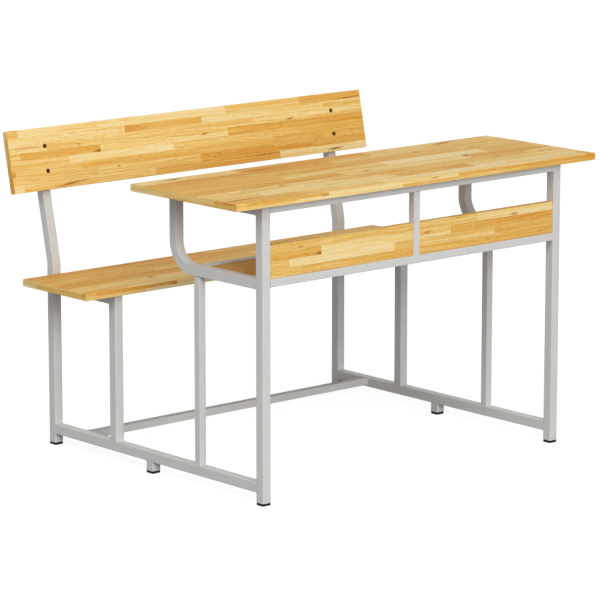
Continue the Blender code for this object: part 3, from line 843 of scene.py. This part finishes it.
def placeCaps():
    source = makeCap()
    half = capLook["width"] / 2
    for side in sides:
        for place in ("front", "middle", "back"):
            node = f"foot_cap_{place}_{side}"
            low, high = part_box(node)
            cap = copyPiece(source, node + "_piece")
            cap.location = ((low.x + high.x) / 2, (low.y + high.y) / 2, low.z)
            applyPlace(cap)
            dress(cap, blackPlastic, "black_plastic", node)
        node = "post_cap_" + side
        low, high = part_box(node)
        cap = copyPiece(source, node + "_piece")
        cap.rotation_euler.x = math.pi - lean
        # The leaning cap's outer face is highest at its front edge and ends at the back at high.y
        cap.location = ((low.x + high.x) / 2, high.y - leanBack.y * half, high.z + leanBack.z * half)
        applyPlace(cap)
        dress(cap, blackPlastic, "black_plastic", node)
    bpy.data.objects.remove(source)


placeCaps()
print("caps made")


# Screws with a cross recess, modelled head down along +Z: pan heads under the boards, lower heads
# sunk in the backrest's holes
screwLook = {"facets": 32, "domeSteps": 5, "shankRadius": 0.0025, "tipRadius": 0.0010,
             "tipLength": 0.003, "recessWidth": 0.0011, "recessDepth": 0.0016}
panHead = {"radius": 0.0050, "height": 0.0030, "dome": 0.0014, "recessReach": 0.0026,
           "turnStep": 0.7}          # no two are driven home alike
sunkHead = {"radius": 0.0040, "height": 0.0025, "dome": 0.0007, "recessReach": 0.0022,
            "shank": 0.0166, "gap": 0.0003}       # the gap is under the head


def makeScrew(name, head, shank):
    deselectAll()
    bpy.ops.mesh.primitive_cylinder_add(
        vertices=screwLook["facets"], radius=head["radius"], depth=head["height"], calc_uvs=False,
        location=(0, 0, head["height"] / 2))
    screw = bpy.context.object
    screw.name = name
    applyPlace(screw)
    bevelWhere(screw, lambda points: max(p.z for p in points) < nearly, head["dome"], screwLook["domeSteps"])
    selectWhere(screw, "FACE", lambda points: min(p.z for p in points) > head["height"] - nearly)
    bpy.ops.mesh.inset(thickness=head["radius"] - screwLook["shankRadius"])
    pullEnd((0, 0, shank - screwLook["tipLength"]))
    pullEnd((0, 0, screwLook["tipLength"]))
    share = screwLook["tipRadius"] / screwLook["shankRadius"]
    bpy.ops.transform.resize(value=(share, share, 1))
    bpy.ops.object.mode_set(mode="OBJECT")
    reach, width, depth = head["recessReach"], screwLook["recessWidth"] / 2, screwLook["recessDepth"]
    for long, wide in ((reach, width), (width, reach)):
        cutAway(screw, addBlock("recess", Vector((-long, -wide, -depth)), Vector((long, wide, depth))))
    shadePiece(screw)
    return screw


def placeBoardScrews():
    for board in ("desktop", "seat"):
        spots = [f"{place}_{side}" for place in ("front", "back") for side in sides] + ["centre"]
        for number, spot in enumerate(spots):
            node = f"{board}_screw_{spot}"
            low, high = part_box(node)
            screw = makeScrew(node + "_piece", panHead, high.z - low.z - panHead["height"])
            screw.rotation_euler.z = panHead["turnStep"] * number
            screw.location = ((low.x + high.x) / 2, (low.y + high.y) / 2, low.z)
            applyPlace(screw)
            dress(screw, zinc, "zinc_plated_steel", node)


def placeBackrestScrews():
    look = boards["backrest"]
    low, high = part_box("backrest")
    rise = look["height"] / 2 - look["screwInset"]
    sink = look["thickness"] / 2 - look["holeDepth"] + sunkHead["height"] + sunkHead["gap"]
    for side in sides:
        legLow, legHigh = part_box("front_leg_" + side)
        for place, height in (("lower", -rise), ("upper", rise)):
            node = f"backrest_screw_{place}_{side}"
            screw = makeScrew(node + "_piece", sunkHead, sunkHead["shank"])
            point = (low + high) / 2 + leanUp * height - leanBack * sink
            point.x = (legLow.x + legHigh.x) / 2
            screw.rotation_euler.x = -math.pi / 2 - lean
            screw.location = point
            applyPlace(screw)
            dress(screw, phosphate, "black_phosphated_steel", node)


placeBoardScrews()
placeBackrestScrews()
print("screws made")

# The welded tabs keep their own solids
for node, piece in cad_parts.items():
    if "tab" in node:
        piece.data.materials.clear()
        piece.data.materials.append(powderCoat)


# What the camera sees itself, in gloss or through glass is 1, and what lights the desk is 0
def addSight(tree):
    path = addNode(tree, "LightPath")
    sight = path.outputs["Is Camera Ray"]
    for ray in ("Is Glossy Ray", "Is Transmission Ray"):
        sight = addNode(tree, "Math", {0: sight, 1: path.outputs[ray]}, operation="MAXIMUM").outputs[0]
    return sight


# Plain pale floor. To the camera it is a dim surface that takes the desk's soft shadow, and a glow
# that lifts the rest to white. To the desk it is a mid grey, so that little light comes from below.
floorLook = {"size": 60, "drop": 0.0002, "color": "#E6E6E6", "cameraShare": 0.38, "glow": 0.86,
             "bounce": "#888888"}


def makeFloor():
    deselectAll()
    bpy.ops.mesh.primitive_plane_add(size=floorLook["size"], location=(0, 0, -floorLook["drop"]))
    floor = bpy.context.object
    floor.name = "floor"
    material = bpy.data.materials.new("pale_floor")
    material.use_nodes = True
    tree = material.node_tree
    tree.nodes.clear()
    plain = addNode(tree, "BsdfDiffuse", values={"Color": hexToLinear(floorLook["bounce"])})
    shade = [share * floorLook["cameraShare"] for share in hexToLinear(floorLook["color"])[:3]]
    seen = addNode(tree, "BsdfDiffuse", values={"Color": (*shade, 1)})
    glow = addNode(tree, "Emission", values={"Strength": floorLook["glow"]})
    both = addNode(tree, "AddShader", {0: seen.outputs[0], 1: glow.outputs[0]})
    mix = addNode(tree, "MixShader", {0: addSight(tree), 1: plain.outputs[0], 2: both.outputs[0]})
    out = addNode(tree, "OutputMaterial", {"Surface": mix.outputs[0]})
    out.is_active_output = True
    floor.data.materials.append(material)


# Puts a lamp or the camera at a place, looking against the direction that points back at it
def placeLooking(data, place, back):
    holder = bpy.data.objects.new(data.name, data)
    holder.location = place
    holder.rotation_euler = back.to_track_quat("Z", "Y").to_euler()
    bpy.context.scene.collection.objects.link(holder)
    return holder


# Degrees round from the front, and up from level
def directionTo(azimuth, elevation):
    around, up = math.radians(azimuth), math.radians(elevation)
    return Vector((math.sin(around) * math.cos(up), -math.cos(around) * math.cos(up), math.sin(up)))


# Even studio light, a large soft key low before the desk and a second one high on its left
lightLook = {
    "ambient": 0.47,
    "background": 1,
    "aim": Vector((0, 0, 0.4)),
    "lamps": (        # name, azimuth and elevation in degrees, distance, size, strength on a facing surface
        ("frontKey", -17, 17, 12, 5.5, 0.52),
        ("highKey", -52, 40, 12, 6, 0.41),
    ),
}


def makeLights():
    world = bpy.data.worlds.new("studio")
    bpy.context.scene.world = world
    world.use_nodes = True
    tree = world.node_tree
    tree.nodes.clear()
    white = (1, 1, 1, 1)
    ambient = addNode(tree, "Background", values={"Color": white, "Strength": lightLook["ambient"]})
    seen = addNode(tree, "Background", values={"Color": white, "Strength": lightLook["background"]})
    mix = addNode(tree, "MixShader", {0: addSight(tree), 1: ambient.outputs[0], 2: seen.outputs[0]})
    addNode(tree, "OutputWorld", {"Surface": mix.outputs[0]})
    for name, azimuth, elevation, distance, size, strength in lightLook["lamps"]:
        lamp = bpy.data.lights.new(name, "AREA")
        lamp.size = size
        lamp.energy = strength * (math.pi * distance) ** 2
        back = directionTo(azimuth, elevation)
        placeLooking(lamp, lightLook["aim"] + back * distance, back)


# It stands where the photograph's camera stood and looks down at the desk, with no shift
cameraLook = {"place": (-5.571, -6.394, 2.074), "azimuth": -41.10, "elevation": 11.34, "lensMm": 201.8,
              "sensorMm": 36}


def makeCamera():
    camera = bpy.data.cameras.new("camera")
    camera.sensor_width = cameraLook["sensorMm"]
    camera.lens = cameraLook["lensMm"]
    bpy.context.scene.camera = placeLooking(
        camera, cameraLook["place"], directionTo(cameraLook["azimuth"], cameraLook["elevation"]))


makeFloor()
makeLights()
makeCamera()
bpy.context.scene.view_settings.view_transform = "Standard"
print("floor, lights and camera made")
